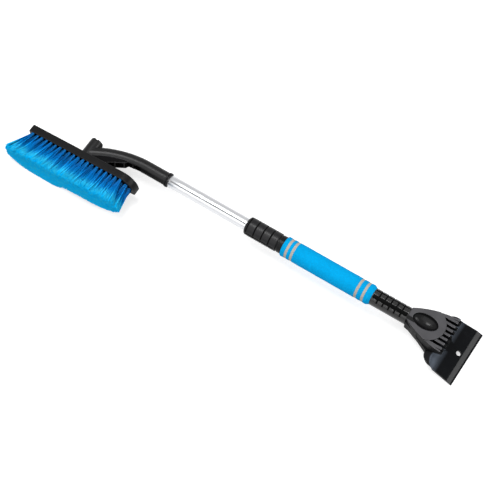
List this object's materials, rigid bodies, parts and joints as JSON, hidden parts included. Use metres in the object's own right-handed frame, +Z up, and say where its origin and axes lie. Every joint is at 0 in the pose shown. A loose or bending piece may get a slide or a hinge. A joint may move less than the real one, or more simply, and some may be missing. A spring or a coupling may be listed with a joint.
{
  "type": "telescoping snow brush with ice scraper",
  "caption": "Telescoping snow brush: a swivelling bristle head on a curved neck and sliding tube, with a twist lock, a foam grip and a toothed ice scraper at the other end.",
  "frame": {"origin": "under the middle of the bounding box, on the lowest point of the tool as it lies on its side", "axes": "+X along the pole towards the scraper, +Y away from the bristle tips along the brush's pivot, +Z up out of the scraper's top face"},
  "size_m": [0.7994, 0.1404, 0.0612],
  "materials": {
    "black_plastic": "fine moulded grain",
    "grey_plastic": "satin moulded",
    "gloss_black": "glossy",
    "pale_plastic": "smooth",
    "bristle": "flagged filament",
    "foam": "closed-cell foam",
    "band": "matt",
    "bright_tube": "bright drawn",
    "outer_tube": "drawn",
    "steel": "zinc plated"
  },
  "bodies": {
    "handle": {"outer_tube": "outer_tube", "lock_base": "black_plastic", "lock_collet": "pale_plastic", "foam_grip": "foam", "grip_band_1": "band", "grip_band_2": "band", "grip_band_3": "band", "grip_band_4": "band", "rear_handle": "grey_plastic", "handle_screw": "steel", "scraper_head": "grey_plastic", "scraper_blade": "gloss_black", "blade_screws": "steel"},
    "nut": {"lock_nut": "black_plastic"},
    "pole": {"inner_tube": "bright_tube", "tail_bush": "black_plastic", "neck": "black_plastic", "neck_rivet": "steel", "pivot_cap": "black_plastic"},
    "brush": {"brush_block": "black_plastic", "bristle_row_1": "bristle", "bristle_row_2": "bristle", "bristle_row_3": "bristle", "bristle_row_4": "bristle", "pivot_screw": "steel", "pivot_washer": "steel", "pivot_spring": "steel"}
  },
  "joints": [
    {"name": "pole_extend", "type": "slide", "parent": "handle", "child": "pole", "axis": [-1, 0, 0], "range_m": [-0.135, 0.065]},
    {"name": "lock_nut_turn", "type": "hinge", "parent": "handle", "child": "nut", "pos_m": [0.03203, 0.02071, 0.03622], "axis": [1, 0, 0], "range_deg": [0, 90]},
    {"name": "brush_pivot", "type": "hinge", "parent": "pole", "child": "brush", "pos_m": [-0.28077, 0.00071, 0.03622], "axis": [0, 1, 0], "continuous": true}
  ]
}
